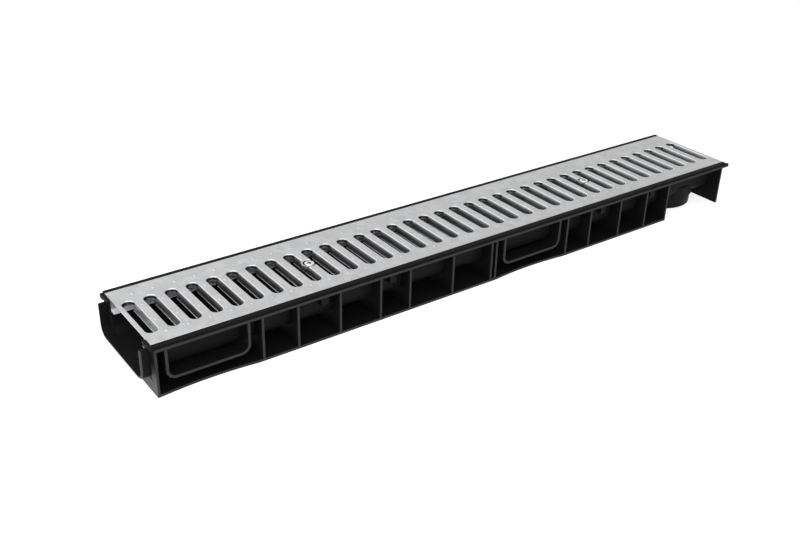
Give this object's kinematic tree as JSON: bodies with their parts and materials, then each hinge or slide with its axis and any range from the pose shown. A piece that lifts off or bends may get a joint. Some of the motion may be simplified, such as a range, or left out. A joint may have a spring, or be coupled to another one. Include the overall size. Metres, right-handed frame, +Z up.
{
  "type": "channel drain",
  "caption": "Shallow moulded channel drain with ribbed sides, a slotted steel grating held by lock screws, a socket and spigot, and an outlet underneath.",
  "frame": {"origin": "on the centre line, on the ground, in the outer face of the end plate at the socket end", "axes": "+X along the channel towards the spigot end, +Z up, +Y across"},
  "size_m": [1.022, 0.154, 0.0708],
  "materials": {
    "black_plastic": "fine moulded satin",
    "galvanised_steel": "galvanised, faint spangle",
    "plated_steel": "zinc plated, bright",
    "bar_plastic": "moulded, grooved"
  },
  "bodies": {
    "root": {"channel_body": "black_plastic", "grating": "galvanised_steel", "lock_screws": "plated_steel", "lock_bar_1": "bar_plastic", "lock_bar_2": "bar_plastic"}
  },
  "joints": []
}
